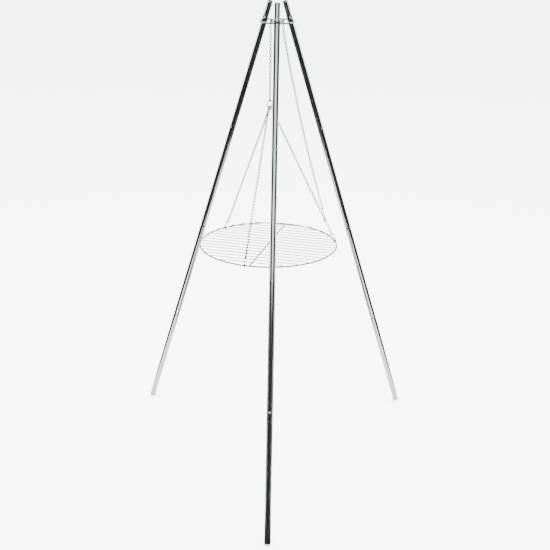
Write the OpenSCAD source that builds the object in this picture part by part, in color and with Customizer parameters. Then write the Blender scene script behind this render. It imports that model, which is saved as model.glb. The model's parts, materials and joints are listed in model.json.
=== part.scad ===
// Campfire tripod with a round cooking grate hung on chains.
// Millimetres, +Z up. The origin is on the ground, straight below the centre of the head ring.

/* [Leg tubes] */
// Outer diameter of a leg tube
tube_d = 19; // [16:0.5:25]
// Wall thickness of a leg tube
tube_wall = 0.9; // [0.7:0.1:1.5]
// Number of plug-together sections in each leg
section_count = 4; // [4:1:4]
// Length that each section adds to the leg
section_pitch = 382; // [340:1:420]
// Gap all round a plug in the bore above it
plug_slip = 0.1; // [0.05:0.05:0.3]
// Length of the narrowed upper end, with its cone
plug_l = 52; // [40:1:60]
// Length of the cone between the narrowed end and the full tube
neck_l = 5; // [3:0.5:8]

/* [Leg stance] */
// Lean of each leg from the vertical, in degrees
leg_tilt = 20.6; // [18:0.1:22]
// Direction of the right rear leg in plan, in degrees from +X
rear_leg_angle = 40; // [30:1:44]
// Distance along the top section from its shoulder down to its cross hole
hole_drop = 9; // [8:0.5:14]
// Diameter of the cross hole that the head ring goes through
cross_hole_d = 7.4; // [7.2:0.1:8]

/* [Head ring] */
// Radius of the head ring, to the centre of its wire
ring_r = 50; // [46:1:60]
// Diameter of the head ring's wire
ring_wire = 5; // [4:0.5:5]

/* [Chain] */
// Wire diameter of a chain link
link_wire = 2; // [1.8:0.1:2.2]
// Inside length of a chain link
link_inner_l = 9; // [9:0.1:9.2]
// Inside width of a chain link
link_inner_w = 4; // [3.8:0.1:4.2]
// Number of links in the lift chain below its top link
lift_links = 24; // [24:1:24]
// Number of links in the half circle round the front leg
wrap_links = 7; // [7:2:7]
// Sideways distance from the front leg to where the chain drops
wrap_r = 18.5; // [18:0.1:19]
// How far the adjuster chain hangs off a straight line
adjuster_sag = 7; // [2:1:12]
// Number of links in each grate chain
grate_links = 52; // [52:1:53]

/* [Junction ring] */
// Outer diameter of the ring that joins the chains
junction_d = 24; // [24:1:27]
// Wire diameter of the junction ring
junction_wire = 3; // [2.8:0.1:3.2]

/* [Grate] */
// Outside diameter of the cooking grate
grate_d = 432; // [426:1:434]
// Wire diameter of the grate's rim and cross brace
rim_wire = 4.5; // [4:0.1:5]
// Diameter of a grate bar
bar_d = 3; // [2.5:0.1:4]
// Number of parallel bars
bar_count = 16; // [12:2:16]
// Spacing of the bars, centre to centre
bar_pitch = 25.4; // [24:0.1:26]
// Direction of the bars in plan, in degrees from +X
bar_angle = -14; // [-16:0.5:-13]
// Direction of the first grate chain in plan, in degrees from +X
first_chain_angle = 12; // [11:0.5:13]
// Height of the grate's rim above the ground
grate_z = 734; // [728:1:740]

/* [Hooks] */
// Wire diameter of the hooks
hook_wire = 2.5; // [2.2:0.1:2.6]
// Distance from a grate hook's bend to its eye, centre to centre
hook_l = 24; // [20:1:26]
// Distance along the right grate chain from the rim up to the adjuster hook
adjuster_hook_up = 72; // [66:1:90]
// Distance between the two bends of the adjuster hook
s_hook_l = 32; // [31:1:36]

/* [Hidden] */
$fn = 48;
wire_fn = 24;

// The gap left between two hooked links
link_gap = 0.15;

// Leg angles in plan
FRONT = -90;
RIGHT = rear_leg_angle;
LEFT = 180 - rear_leg_angle;

// A section's bore, and the plug of the section below that slides up into it
bore_r = tube_d / 2 - tube_wall;
plug_r = bore_r - plug_slip;

// A tube's end rests on the cone below it, just under the plug, so part of the cone still shows.
// The leg's length is measured from the cross hole down to the foot's end.
seat_gap = neck_l - 0.3;
leg_below_hole = section_count * section_pitch - seat_gap - hole_drop;
ring_z = leg_below_hole * cos(leg_tilt) + tube_d / 2 * sin(leg_tilt);

// Chain link measures
step = link_inner_l - link_gap;
link_r = (link_inner_w + link_wire) / 2;
bend_off = (link_inner_l - link_inner_w) / 2;

// The chain rises over the head ring on each side of the front leg in links that lean 30 degrees
// more each time. The second sloping link lies on the ring's wire, by its middle.
wrap_step = 2 * wrap_r * sin(90 / wrap_links);
touch = ring_wire / 2 + link_r + link_wire / 2 + 0.2;
cross_y = -sqrt(pow(ring_r, 2) - pow(wrap_r, 2));
function climb(a) = wrap_step * [0, -cos(a), sin(a)];
over_mid = [-wrap_r, cross_y, ring_z] + touch * [0, sin(30), cos(30)];
OVER_WIRE = [over_mid - climb(30) / 2 - climb(60) - climb(90), over_mid - climb(30) / 2 - climb(60),
             over_mid - climb(30) / 2, over_mid + climb(30) / 2];
hang_y = OVER_WIRE[0].y;
pivot_z = OVER_WIRE[0].z;

// The junction ring hangs in the lowest lift link
lift_foot_z = pivot_z - (lift_links + 1) * step;
junction_r = (junction_d - junction_wire) / 2;
junction_z = lift_foot_z - link_gap / 2 + link_inner_w / 2 - junction_r;
junction_angle = first_chain_angle + 30;
hang_x = -wrap_r;

// Grate
rim_r = (grate_d - rim_wire) / 2;
bar_z = grate_z + (rim_wire + bar_d) / 2;
hook_bend_r = (rim_wire + hook_wire) / 2 + 0.4;
GRATE_CHAINS = [0, 120, 240];

function unit(v) = v / norm(v);
function plan(a) = [cos(a), sin(a), 0];
function yaw(d) = norm([d.x, d.y]) < 0.001 ? -90 : atan2(d.y, d.x);
function lean(d) = acos(d.z / norm(d));
function half_turn(a) = a - 180 * round(a / 180);

// The fixed end of grate chain number i: a point on the rim
function rim_point(i) = [hang_x, hang_y, grate_z] + rim_r * plan(first_chain_angle + GRATE_CHAINS[i]);
// Where grate chain i sits on the junction ring, as an angle round it
function ring_seat(i) =
    let (a = first_chain_angle + GRATE_CHAINS[i],
         spread = rim_r / (junction_z - junction_r - grate_z))
    -90 + atan(spread * cos(a - junction_angle));
function seat_point(i) = [hang_x, hang_y, junction_z]
    + junction_r * (cos(ring_seat(i)) * plan(junction_angle) + [0, 0, sin(ring_seat(i))]);
function seat_tangent(i) = -sin(ring_seat(i)) * plan(junction_angle) + [0, 0, cos(ring_seat(i))];
// Direction up grate chain i, from the rim to the junction ring
function chain_up(i) = unit(seat_point(i) - rim_point(i));
// The wire at the top of grate hook i's eye, which the last link holds
function eye_point(i) = rim_point(i) + (hook_l + hook_bend_r) * chain_up(i);
// Turn of the first link about the chain, so that it sits square across the junction ring
function seat_roll(i) =
    let (d = chain_up(i), a = yaw(d), x = [cos(a) * d.z, sin(a) * d.z, -norm([d.x, d.y])],
         y = [-sin(a), cos(a), 0], t = seat_tangent(i))
    atan2(-t * x, t * y);

// Turn of link k of grate chain i; the chain twists evenly, so that the last link sits square across the eye
function grate_link_roll(i, k) =
    let (twist = half_turn(90 - seat_roll(i) - 90 * (grate_links - 1)))
    seat_roll(i) + 90 * k + twist * k / (grate_links - 1);

// Points where the links of the wrapped chain meet: up one side, round the leg and down the other
function across(p) = [-p.x, p.y, p.z];
WRAP = concat(OVER_WIRE,
    [for (i = [1 : wrap_links - 1])
        let (turn = 180 * i / wrap_links) OVER_WIRE[3] + wrap_r * [1 - cos(turn), -sin(turn), 0]],
    [for (i = [3 : -1 : 0]) across(OVER_WIRE[i])]);

// The adjuster hook goes through a link of the right grate chain
right_up = chain_up(0);
right_chain_l = norm(seat_point(0) - eye_point(0));
right_step = (right_chain_l - 2 * bend_off) / (grate_links - 1);
held_link = 2 * round((right_chain_l - adjuster_hook_up + hook_l) / right_step / 2);
held_point = seat_point(0) - right_up * (bend_off + held_link * right_step);
held_roll = grate_link_roll(0, held_link);
s_hook_r = link_r + (link_wire + hook_wire) / 2 + 0.9;
adjuster_top = [wrap_r, hang_y, pivot_z - step];
s_hook_up = unit(adjuster_top - held_point);
s_hook_top = held_point + (s_hook_l + 2 * s_hook_r) * s_hook_up;
// The last adjuster link hangs a little slack on the hook
adjuster_slack = 1.45;
adjuster_end = s_hook_top - (link_inner_w / 2 - link_gap / 2 + adjuster_slack) * s_hook_up;
adjuster_run = adjuster_end - adjuster_top;
adjuster_links = ceil(norm(adjuster_run) / (step + 0.05));
function adjuster_point(u) =
    let (d = unit(adjuster_run), side = unit(cross(d, [0, 0, 1])))
    adjuster_top + u * adjuster_run + 4 * adjuster_sag * u * (1 - u) * unit(cross(d, side));

// ---------- shared shapes ----------

// Lays a shape whose long axis is +Z along direction d, turned by roll about that axis
module along(d, roll = 0) {
    rotate([0, lean(d), yaw(d)]) rotate([0, 0, roll]) children();
}

// A bent wire: an arc of a circle in the XZ plane, starting at angle a0
module wire_arc(r, wire, a0, sweep) {
    rotate([90, 0, 0]) rotate([0, 0, a0])
        rotate_extrude(angle = sweep) translate([r, 0]) circle(d = wire, $fn = wire_fn);
}

// One oval chain link, centred, long axis along Z, lying in the XZ plane
module chain_link() {
    for (s = [-1, 1])
        translate([s * link_r, 0, 0])
            cylinder(d = link_wire, h = 2 * bend_off, center = true, $fn = wire_fn);
    translate([0, 0, bend_off]) wire_arc(link_r, link_wire, 0, 180);
    translate([0, 0, -bend_off]) wire_arc(link_r, link_wire, 180, 180);
}

// A link whose two neighbours meet it at points a and b
module link_between(a, b, roll) {
    translate((a + b) / 2) along(b - a, roll) chain_link();
}

// Places a leg: the cross hole at the origin, the leg's axis along Z, its outer side towards +X
module on_leg(angle) {
    rotate([0, 0, angle]) translate([ring_r, 0, ring_z]) rotate([0, -leg_tilt, 0]) children();
}

// One leg section with its shoulder at z = 0: a full tube below and a narrowed plug above
module section_tube() {
    bottom = seat_gap - section_pitch;
    plug_bore_r = plug_r - tube_wall;
    edge = 0.3;
    rotate_extrude() polygon([
        [bore_r, bottom], [tube_d / 2 - edge, bottom], [tube_d / 2, bottom + edge],
        [tube_d / 2, 0], [plug_r, neck_l], [plug_r, plug_l - edge],
        [plug_r - edge, plug_l], [plug_bore_r, plug_l], [plug_bore_r, neck_l + 1], [bore_r, -1]]);
}

// Leg section number i, counted from the top; the top one has the cross hole
module leg_section(angle, i) {
    color("silver") on_leg(angle)
        difference() {
            translate([0, 0, hole_drop - i * section_pitch]) section_tube();
            if (i == 0)
                rotate([90, 0, 0]) cylinder(d = cross_hole_d, h = 2 * tube_d, center = true);
        }
}

// ---------- head ----------

module head_ring() {
    color("gray") translate([0, 0, ring_z])
        rotate_extrude($fn = 96) translate([ring_r, 0]) circle(d = ring_wire, $fn = wire_fn);
}

// The chain over the head ring and round the front leg, with the link that drops at each end
module wrap_chain() {
    color("gray")
        for (i = [0 : len(WRAP) - 2]) link_between(WRAP[i], WRAP[i + 1], i % 2 * 90);
}

// ---------- lift chain and junction ----------

module lift_chain_top_link() {
    color("gray") link_between([hang_x, hang_y, pivot_z - step], [hang_x, hang_y, pivot_z], 90);
}

// The straight run down to the junction ring; it turns evenly so that both ends sit square
module lift_chain() {
    end_roll = half_turn(junction_angle - 90 - 90 * lift_links);
    color("gray")
        for (i = [1 : lift_links])
            link_between([hang_x, hang_y, pivot_z - (i + 1) * step], [hang_x, hang_y, pivot_z - i * step],
                         90 + 90 * i + end_roll * i / lift_links);
}

module junction_ring() {
    color("gray") translate([hang_x, hang_y, junction_z]) rotate([0, 0, junction_angle])
        wire_arc(junction_r, junction_wire, 0, 360);
}

// ---------- grate chains and hooks ----------

// Grate chain i: the first link sits across the junction ring, the last across the hook's eye
module grate_chain(i) {
    top = seat_point(i);
    up = chain_up(i);
    pitch = (norm(top - eye_point(i)) - 2 * bend_off) / (grate_links - 1);
    color("gray")
        for (k = [0 : grate_links - 1])
            translate(top - up * (bend_off + k * pitch))
                along(up, grate_link_roll(i, k)) chain_link();
}

// Grate hook i: a bend under the rim, a straight shank outside it and an eye curled from the wire
module grate_hook(i) {
    bend_sweep = 215;
    eye_sweep = 280;
    color("dimgray") translate(rim_point(i)) along(chain_up(i), 180) {
        wire_arc(hook_bend_r, hook_wire, 0, -bend_sweep);
        translate([hook_bend_r, 0, 0]) cylinder(d = hook_wire, h = hook_l, $fn = wire_fn);
        translate([0, 0, hook_l]) wire_arc(hook_bend_r, hook_wire, 0, eye_sweep);
    }
}

// ---------- grate ----------

module on_grate() {
    translate([hang_x, hang_y, 0]) children();
}

module grate_rim() {
    color("silver") on_grate() translate([0, 0, grate_z])
        rotate_extrude($fn = 180) translate([rim_r, 0]) circle(d = rim_wire, $fn = wire_fn);
}

// Parallel bars that lie on top of the rim and the brace
module grate_bars() {
    color("silver") on_grate() rotate([0, 0, bar_angle])
        for (i = [0 : bar_count - 1]) {
            y = (i - (bar_count - 1) / 2) * bar_pitch;
            translate([0, y, bar_z]) rotate([0, 90, 0])
                cylinder(d = bar_d, h = 2 * sqrt(pow(rim_r, 2) - pow(y, 2)), center = true, $fn = wire_fn);
        }
}

// A straight wire under the bars, across the middle, butted to the rim at both ends
module grate_brace() {
    length = 2 * (rim_r - rim_wire / 2) - 0.1;
    color("silver") on_grate() rotate([0, 0, bar_angle]) translate([0, 0, grate_z])
        rotate([90, 0, 0]) cylinder(d = rim_wire, h = length, center = true, $fn = wire_fn);
}

// ---------- adjuster ----------

module adjuster_top_link() {
    color("gray") link_between([wrap_r, hang_y, pivot_z - step], [wrap_r, hang_y, pivot_z], 90);
}

// The adjuster chain; it twists evenly so that its last link sits square on the hook
module adjuster_chain() {
    twist = half_turn(held_roll - 90 * adjuster_links);
    color("gray")
        for (i = [0 : adjuster_links - 1])
            link_between(adjuster_point((i + 1) / adjuster_links), adjuster_point(i / adjuster_links),
                         90 + 90 * i + twist * i / (adjuster_links - 1));
}

// An open hook with a bend at each end: the lower one goes through a link of the right grate chain
module adjuster_hook() {
    open_sweep = 190;
    color("dimgray") translate(held_point) along(s_hook_up, held_roll + 90) translate([0, 0, s_hook_r]) {
        wire_arc(s_hook_r, hook_wire, 0, -open_sweep);
        translate([0, 0, s_hook_l]) wire_arc(s_hook_r, hook_wire, 0, open_sweep);
        translate([s_hook_r, 0, 0]) cylinder(d = hook_wire, h = s_hook_l, $fn = wire_fn);
    }
}

head_ring();
leg_section(FRONT, 0);  // front_leg_top_tube
leg_section(FRONT, 1);  // front_leg_upper_tube
leg_section(FRONT, 2);  // front_leg_lower_tube
leg_section(FRONT, 3);  // front_leg_foot_tube
leg_section(LEFT, 0);  // left_leg_top_tube
leg_section(LEFT, 1);  // left_leg_upper_tube
leg_section(LEFT, 2);  // left_leg_lower_tube
leg_section(LEFT, 3);  // left_leg_foot_tube
leg_section(RIGHT, 0);  // right_leg_top_tube
leg_section(RIGHT, 1);  // right_leg_upper_tube
leg_section(RIGHT, 2);  // right_leg_lower_tube
leg_section(RIGHT, 3);  // right_leg_foot_tube
wrap_chain();
lift_chain_top_link();
lift_chain();
junction_ring();
grate_chain(0);  // right_grate_chain
grate_chain(1);  // left_grate_chain
grate_chain(2);  // front_grate_chain
grate_hook(0);  // right_grate_hook
grate_hook(1);  // left_grate_hook
grate_hook(2);  // front_grate_hook
grate_rim();
grate_bars();
grate_brace();
adjuster_top_link();
adjuster_chain();
adjuster_hook();
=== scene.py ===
import json
from math import radians

import bpy
from mathutils import Matrix, Vector


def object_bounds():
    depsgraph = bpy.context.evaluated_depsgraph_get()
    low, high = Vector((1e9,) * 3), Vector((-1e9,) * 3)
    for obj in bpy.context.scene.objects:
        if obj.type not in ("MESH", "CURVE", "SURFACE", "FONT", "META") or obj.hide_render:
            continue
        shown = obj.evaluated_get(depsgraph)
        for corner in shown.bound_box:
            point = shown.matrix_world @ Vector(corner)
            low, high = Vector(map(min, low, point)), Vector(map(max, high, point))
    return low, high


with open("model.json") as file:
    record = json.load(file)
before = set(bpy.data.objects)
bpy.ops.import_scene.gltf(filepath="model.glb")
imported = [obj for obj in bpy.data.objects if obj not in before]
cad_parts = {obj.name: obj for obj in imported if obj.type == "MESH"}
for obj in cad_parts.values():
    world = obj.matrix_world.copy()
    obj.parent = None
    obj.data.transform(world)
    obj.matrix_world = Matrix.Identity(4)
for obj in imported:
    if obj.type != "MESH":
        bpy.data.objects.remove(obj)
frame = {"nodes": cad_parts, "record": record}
CAD_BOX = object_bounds()
low, high = Vector(CAD_BOX[0]), Vector(CAD_BOX[1])
NODES = frame["nodes"]
scene = bpy.context.scene


# ---------- camera ----------

LENS_MM, SENSOR_MM, SHIFT_Y = 75.57, 36.0, -0.0455
CAMERA_PLACE = (0.053, -3.461, 1.907)
# Degrees: to the left, down from level, and about the line of sight
CAMERA_TURN, CAMERA_DOWN, CAMERA_ROLL = 0.842, 19.20, 0.766
NEAR_CLIP, FAR_CLIP = 0.05, 200.0


def make_camera():
    """The camera stands in front, a little to the right, and looks down past the head ring."""
    data = bpy.data.cameras.new("camera")
    data.lens, data.sensor_width = LENS_MM, SENSOR_MM
    data.shift_y = SHIFT_Y
    data.dof.use_dof = False
    data.clip_start, data.clip_end = NEAR_CLIP, FAR_CLIP
    cam = bpy.data.objects.new("camera", data)
    scene.collection.objects.link(cam)
    turn = Matrix.Rotation(radians(CAMERA_TURN), 4, "Z")
    pitch = Matrix.Rotation(radians(90 - CAMERA_DOWN), 4, "X")
    roll = Matrix.Rotation(radians(CAMERA_ROLL), 4, "Z")
    cam.matrix_world = Matrix.Translation(CAMERA_PLACE) @ turn @ pitch @ roll
    scene.camera = cam


make_camera()


# ---------- node helpers ----------

class Graph:
    """Short calls for building one node tree. A value is a number, a colour or another node's socket."""

    # The colour sockets of a Mix node: factor, first and second input, and the result
    MIX_FACTOR, MIX_A, MIX_B, MIX_RESULT = 0, 6, 7, 2

    def __init__(self, tree):
        self.tree = tree
        tree.nodes.clear()

    def put(self, node, socket, value):
        if isinstance(value, bpy.types.NodeSocket):
            self.tree.links.new(value, node.inputs[socket])
        else:
            node.inputs[socket].default_value = value

    def node(self, kind, inputs=None, **props):
        n = self.tree.nodes.new(kind)
        for key, value in props.items():
            setattr(n, key, value)
        for socket, value in (inputs or {}).items():
            self.put(n, socket, value)
        return n

    def math(self, op, a, b=0.0, clamp=False):
        return self.node("ShaderNodeMath", {0: a, 1: b}, operation=op, use_clamp=clamp).outputs[0]

    def times(self, a, b):
        return self.math("MULTIPLY", a, b)

    def plus(self, a, b):
        return self.math("ADD", a, b)

    def fade(self, value, start, end, out_start=0.0, out_end=1.0):
        """A smooth step from out_start to out_end as value goes from start to end."""
        n = self.node("ShaderNodeMapRange",
                      {"Value": value, "From Min": start, "From Max": end,
                       "To Min": out_start, "To Max": out_end},
                      interpolation_type="SMOOTHSTEP")
        return n.outputs["Result"]

    def noise(self, vector, scale, detail=3.0, rough=0.5):
        n = self.node("ShaderNodeTexNoise",
                      {"Vector": vector, "Scale": scale, "Detail": detail, "Roughness": rough})
        return n.outputs["Fac"]

    def mix(self, factor, a, b):
        n = self.node("ShaderNodeMix", {self.MIX_FACTOR: factor, self.MIX_A: a, self.MIX_B: b},
                      data_type="RGBA")
        return n.outputs[self.MIX_RESULT]


def grey(value, warm=0.0):
    return (value * (1 + warm), value, value * (1 - warm), 1.0)


def cool(value):
    return grey(value, -0.05)


# ---------- materials ----------

# Drawn lines: how much they are stretched along their axis, and their share of the tone
LINE_STRETCH, LINE_SHARE = 0.012, 0.55
SMUDGE_SHARE = 0.45
# Specks: cycles per metre, the noise levels between which they fade in, and what they change
SPECK_SCALE, SPECK_FADE = 700.0, (0.66, 0.74)
SPECK_COLOUR, SPECK_TINT, SPECK_ROUGH = grey(0.25, 0.05), 0.35, 0.07
# Convex edges: the pointiness between which the worn tint fades in, and its colour
EDGE_FADE, EDGE_COLOUR = (0.52, 0.60), grey(0.85)
# Heat stains: cycles per metre, the noise levels between which they fade in, and their colour
STAIN_SCALE, STAIN_FADE, STAIN_COLOUR = 35.0, (0.52, 0.72), grey(0.12, 0.12)
# The tone between which colour and roughness change, and the relief of lines and specks
COLOUR_FADE, ROUGH_FADE = (0.35, 0.65), (0.3, 0.7)
RELIEF_STRENGTH, RELIEF_SHARE = 0.35, 0.6


def metal(name, light, dark, smooth, rough, axis=None, grain=500.0, marks=22.0, relief=0.00002,
          heat=0.0, worn=0.25):
    """Plated or bare wire and tube.

    light and dark are its two tones, and smooth and rough its two roughnesses. axis is the direction of
    the drawn lines, grain and marks the scales of lines and smudges in cycles per metre, relief the
    bump's height in metres, heat the strength of stains and worn that of the tint on edges.
    """
    mat = bpy.data.materials.new(name)
    mat.use_nodes = True
    g = Graph(mat.node_tree)
    coords = g.node("ShaderNodeTexCoord").outputs["Object"]
    along = coords
    if axis is not None:
        spin = Vector(axis).rotation_difference(Vector((0, 0, 1))).to_euler()
        along = g.node("ShaderNodeMapping", {"Vector": coords, "Rotation": spin[:],
                                             "Scale": (1.0, 1.0, LINE_STRETCH)}).outputs["Vector"]
    lines = g.noise(along, grain, detail=4.0, rough=0.6)
    smudges = g.noise(coords, marks, detail=4.0, rough=0.55)
    specks = g.fade(g.noise(coords, SPECK_SCALE, detail=2.0), *SPECK_FADE)
    edges = g.fade(g.node("ShaderNodeNewGeometry").outputs["Pointiness"], *EDGE_FADE)
    tone = g.plus(g.times(lines, LINE_SHARE), g.times(smudges, SMUDGE_SHARE))
    colour = g.mix(g.fade(tone, *COLOUR_FADE), dark, light)
    colour = g.mix(g.times(specks, SPECK_TINT), colour, SPECK_COLOUR)
    colour = g.mix(g.times(edges, worn), colour, EDGE_COLOUR)
    if heat:
        stains = g.fade(g.noise(coords, STAIN_SCALE, detail=5.0, rough=0.65), *STAIN_FADE)
        colour = g.mix(g.times(stains, heat), colour, STAIN_COLOUR)
    roughness = g.math("ADD", g.fade(tone, *ROUGH_FADE, rough, smooth), g.times(specks, SPECK_ROUGH),
                       clamp=True)
    height = g.plus(g.times(lines, RELIEF_SHARE), g.times(specks, -RELIEF_SHARE))
    bump = g.node("ShaderNodeBump", {"Strength": RELIEF_STRENGTH, "Distance": relief, "Height": height})
    shader = g.node("ShaderNodeBsdfPrincipled",
                    {"Base Color": colour, "Roughness": roughness, "Normal": bump.outputs["Normal"],
                     "Metallic": 1.0})
    g.node("ShaderNodeOutputMaterial", {"Surface": shader.outputs["BSDF"]})
    return mat


def paint(mat, *nodes):
    for node in nodes:
        data = NODES[node].data
        data.materials.clear()
        data.materials.append(mat)


def leg_axis(leg):
    """The direction of a leg, which is the axis of its slides."""
    for joint in frame["record"]["behaviour"]["joints"]:
        if joint["name"].startswith(leg) and joint["type"] == "slide":
            return joint["axis"]


def paint_legs():
    for leg in ("front", "left", "right"):
        tube = metal("chromed_tube_" + leg, cool(0.44), cool(0.36), 0.08, 0.11, axis=leg_axis(leg),
                     grain=900.0, relief=0.000003)
        paint(tube, *["%s_leg_%s_tube" % (leg, part) for part in ("top", "upper", "lower", "foot")])


def paint_wires():
    ring = metal("plated_ring", grey(0.22), grey(0.13), 0.18, 0.34)
    chain = metal("plated_chain", grey(0.045), grey(0.02), 0.20, 0.34, grain=600.0, marks=60.0, worn=0.03)
    hook = metal("dark_hook_wire", grey(0.05), grey(0.025), 0.28, 0.45, marks=60.0, worn=0.03)
    rim = metal("rim_wire", grey(0.085, 0.05), grey(0.045, 0.08), 0.20, 0.36, marks=40.0, heat=0.3,
                worn=0.04)
    bars = metal("grate_bar_wire", grey(0.34, 0.06), grey(0.22, 0.09), 0.16, 0.30, marks=40.0, heat=0.15,
                 worn=0.10)
    paint(ring, "head_ring")
    paint(chain, "wrap_chain", "lift_chain_top_link", "lift_chain", "junction_ring", "right_grate_chain",
          "left_grate_chain", "front_grate_chain", "adjuster_top_link", "adjuster_chain")
    paint(hook, "right_grate_hook", "left_grate_hook", "front_grate_hook", "adjuster_hook")
    paint(rim, "grate_rim", "grate_brace")
    paint(bars, "grate_bars")


paint_legs()
paint_wires()


# ---------- floor, reflection card and light ----------

FLOOR_REACH, FLOOR_DROP = 60, 0.0005
# The card lies just above the floor. It reaches this far to the front and the sides, and to the back
CARD_REACH, CARD_BACK, CARD_RISE = 12, 2, 0.0008
CARD_GLOW = grey(0.05)
# Where the card is darkest, each as the metres between which that fades in: far from the middle but
# not far behind it, in a lane below the front leg and on under the grate, and in front of the tripod
FAR_FADE, FAR_BACK_FADE = (0.58, 0.80), (1.9, 1.1)
LANE_SIDE_FADE, LANE_BACK_FADE = (0.24, 0.12), (0.6, 0.3)
FRONT_FADE = (-0.28, -0.62)
# The share that it covers everywhere else, which paints a darker reflection of the pale floor itself
CARD_LEAST = 0.55


def floor_material():
    mat = bpy.data.materials.new("pale_floor")
    mat.use_nodes = True
    g = Graph(mat.node_tree)
    coords = g.node("ShaderNodeTexCoord").outputs["Object"]
    colour = g.mix(g.noise(coords, 1.5), grey(0.90), grey(0.93))
    shader = g.node("ShaderNodeBsdfPrincipled", {"Base Color": colour, "Roughness": 0.9,
                                                 "Specular IOR Level": 0.1})
    g.node("ShaderNodeOutputMaterial", {"Surface": shader.outputs["BSDF"]})
    return mat


def plane(name, x0, x1, y0, y1, z, mat):
    mesh = bpy.data.meshes.new(name)
    mesh.from_pydata([(x0, y0, z), (x1, y0, z), (x1, y1, z), (x0, y1, z)], [], [(0, 1, 2, 3)])
    mesh.materials.append(mat)
    obj = bpy.data.objects.new(name, mesh)
    scene.collection.objects.link(obj)
    return obj


def painted_dark_reflection():
    """Only reflections see this card, a painted dark reflection: round the pale sweep it stands for the
    unlit floor of the room, and over the sweep itself it darkens the pale floor's reflection.
    """
    mat = bpy.data.materials.new("painted_dark_reflection")
    mat.use_nodes = True
    g = Graph(mat.node_tree)
    place = g.node("ShaderNodeTexCoord").outputs["Object"]
    away = g.node("ShaderNodeVectorMath", {0: place}, operation="LENGTH").outputs["Value"]
    x, y, _ = g.node("ShaderNodeSeparateXYZ", {"Vector": place}).outputs
    far = g.times(g.fade(away, *FAR_FADE), g.fade(y, *FAR_BACK_FADE))
    lane = g.times(g.fade(g.math("ABSOLUTE", x), *LANE_SIDE_FADE), g.fade(y, *LANE_BACK_FADE))
    mask = g.math("MAXIMUM", g.math("MAXIMUM", far, lane), g.fade(y, *FRONT_FADE))
    mask = g.math("MAXIMUM", mask, CARD_LEAST)
    # The card's dim glow is the painted dark reflection
    glow = g.node("ShaderNodeEmission", {"Color": CARD_GLOW, "Strength": 1.0})
    clear = g.node("ShaderNodeBsdfTransparent")
    both = g.node("ShaderNodeMixShader", {0: mask, 1: clear.outputs[0], 2: glow.outputs[0]})
    g.node("ShaderNodeOutputMaterial", {"Surface": both.outputs[0]})
    card = plane("painted_dark_reflection", -CARD_REACH, CARD_REACH, -CARD_REACH, CARD_BACK, low.z + CARD_RISE, mat)
    card.visible_camera = card.visible_diffuse = card.visible_shadow = False
    card.visible_transmission = card.visible_volume_scatter = False


# The room's brightness in reflections, where it is bright and dark, what diffuse light gets on top of
# that, and the plain tone that the camera sees past the floor
ROOM_BRIGHT, ROOM_DARK, SOFT_EXTRA, SEEN_LEVEL = 3.6, 0.06, 5.0, 4.5
ROOM_COLOUR = (0.97, 0.98, 1.0, 1.0)
# Directions in plan, from 1 for the side where the camera stands to -1 for the side behind the tripod,
# and the sines of heights above level
LOW_BEHIND_FADE, LOW_HEIGHT_FADE = (-0.96, -0.80), (0.375, 0.30)
GAP_SIDE_FADE, GAP_AHEAD_FADE, GAP_HEIGHT_FADE = (-0.15, 0.10), (0.92, 0.80), (0.85, 0.70)
GAP_SHARE = 0.85
# The soft light above: its rise over the tripod's top, its place towards the back, its side and power
TOP_RISE, TOP_BACK, TOP_SIZE, TOP_POWER = 2.2, 0.3, 3.0, 420.0


def studio_world():
    """A pale room, dark low down except straight behind, and dark between straight ahead and the sides."""
    world = bpy.data.worlds.new("studio")
    world.use_nodes = True
    scene.world = world
    g = Graph(world.node_tree)
    ray = g.node("ShaderNodeTexCoord").outputs["Generated"]
    x, y, z = g.node("ShaderNodeSeparateXYZ", {"Vector": ray}).outputs
    flat = g.math("SQRT", g.plus(g.times(x, x), g.times(y, y)))
    ahead = g.math("DIVIDE", g.times(y, -1.0), g.math("MAXIMUM", flat, 0.001))
    low_band = g.times(g.fade(ahead, *LOW_BEHIND_FADE), g.fade(z, *LOW_HEIGHT_FADE))
    gap = g.times(g.fade(ahead, *GAP_SIDE_FADE), g.fade(ahead, *GAP_AHEAD_FADE))
    gap = g.times(gap, g.fade(z, *GAP_HEIGHT_FADE))
    shade = g.math("MAXIMUM", low_band, g.times(gap, GAP_SHARE))
    room = g.fade(shade, 0.0, 1.0, ROOM_BRIGHT, ROOM_DARK)
    rays = g.node("ShaderNodeLightPath").outputs
    seen, soft = rays["Is Camera Ray"], rays["Is Diffuse Ray"]
    room = g.plus(room, g.times(soft, SOFT_EXTRA))
    unseen = g.times(room, g.math("SUBTRACT", 1.0, seen))
    level = g.plus(unseen, g.times(seen, SEEN_LEVEL))
    back = g.node("ShaderNodeBackground", {"Color": ROOM_COLOUR, "Strength": level})
    g.node("ShaderNodeOutputWorld", {"Surface": back.outputs[0]})


def top_light():
    place = Vector((0.0, TOP_BACK, high.z + TOP_RISE))
    data = bpy.data.lights.new("top_light", "AREA")
    data.shape, data.size, data.energy = "SQUARE", TOP_SIZE, TOP_POWER
    obj = bpy.data.objects.new("top_light", data)
    obj.location = place
    obj.rotation_euler = ((low + high) / 2 - place).to_track_quat("-Z", "Y").to_euler()
    scene.collection.objects.link(obj)


plane("floor", -FLOOR_REACH, FLOOR_REACH, -FLOOR_REACH, FLOOR_REACH, low.z - FLOOR_DROP, floor_material())
studio_world()
top_light()
painted_dark_reflection()
